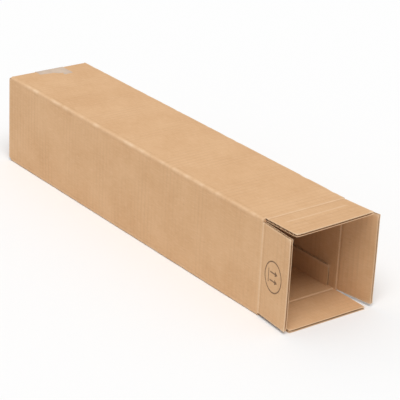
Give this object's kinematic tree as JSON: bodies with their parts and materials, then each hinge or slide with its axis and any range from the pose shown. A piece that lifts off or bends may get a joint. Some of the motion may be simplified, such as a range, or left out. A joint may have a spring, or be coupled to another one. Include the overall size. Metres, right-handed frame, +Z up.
{
  "type": "square mailing carton",
  "caption": "Long square-section mailing carton of single-wall corrugated board, taped shut at one end, with hinged closing flaps at the open end.",
  "frame": {"origin": "middle of the base, on the surface it lies on, half-way along the carton's body", "axes": "+Z up, +Y along the carton towards its closed end, so the mouth faces -Y, +X to the right as seen from the mouth"},
  "size_m": [0.1485, 0.6696, 0.1366],
  "materials": {
    "kraft_board": "matt kraft liner with faint flute lines",
    "packing_tape": "thin translucent film, satin"
  },
  "bodies": {
    "carton": {"carton_body": "kraft_board", "closing_tape": "packing_tape"},
    "left_flap": {"front_flap_left": "kraft_board"},
    "right_flap": {"front_flap_right": "kraft_board"},
    "top_flap": {"front_flap_top": "kraft_board"},
    "bottom_flap": {"front_flap_bottom": "kraft_board"}
  },
  "joints": [
    {"name": "left_flap_fold", "type": "hinge", "parent": "carton", "child": "left_flap", "pos_m": [-0.0655, -0.306, 0.0675], "axis": [0, 0, 1], "range_deg": [-85.5, 94.5]},
    {"name": "right_flap_fold", "type": "hinge", "parent": "carton", "child": "right_flap", "pos_m": [0.0655, -0.306, 0.0675], "axis": [0, 0, -1], "range_deg": [-81, 99]},
    {"name": "top_flap_fold", "type": "hinge", "parent": "carton", "child": "top_flap", "pos_m": [0, -0.3017, 0.133], "axis": [1, 0, 0], "range_deg": [-88.5, 91.5]},
    {"name": "bottom_flap_fold", "type": "hinge", "parent": "carton", "child": "bottom_flap", "pos_m": [0, -0.3017, 0.002], "axis": [-1, 0, 0], "range_deg": [-90, 90]}
  ]
}
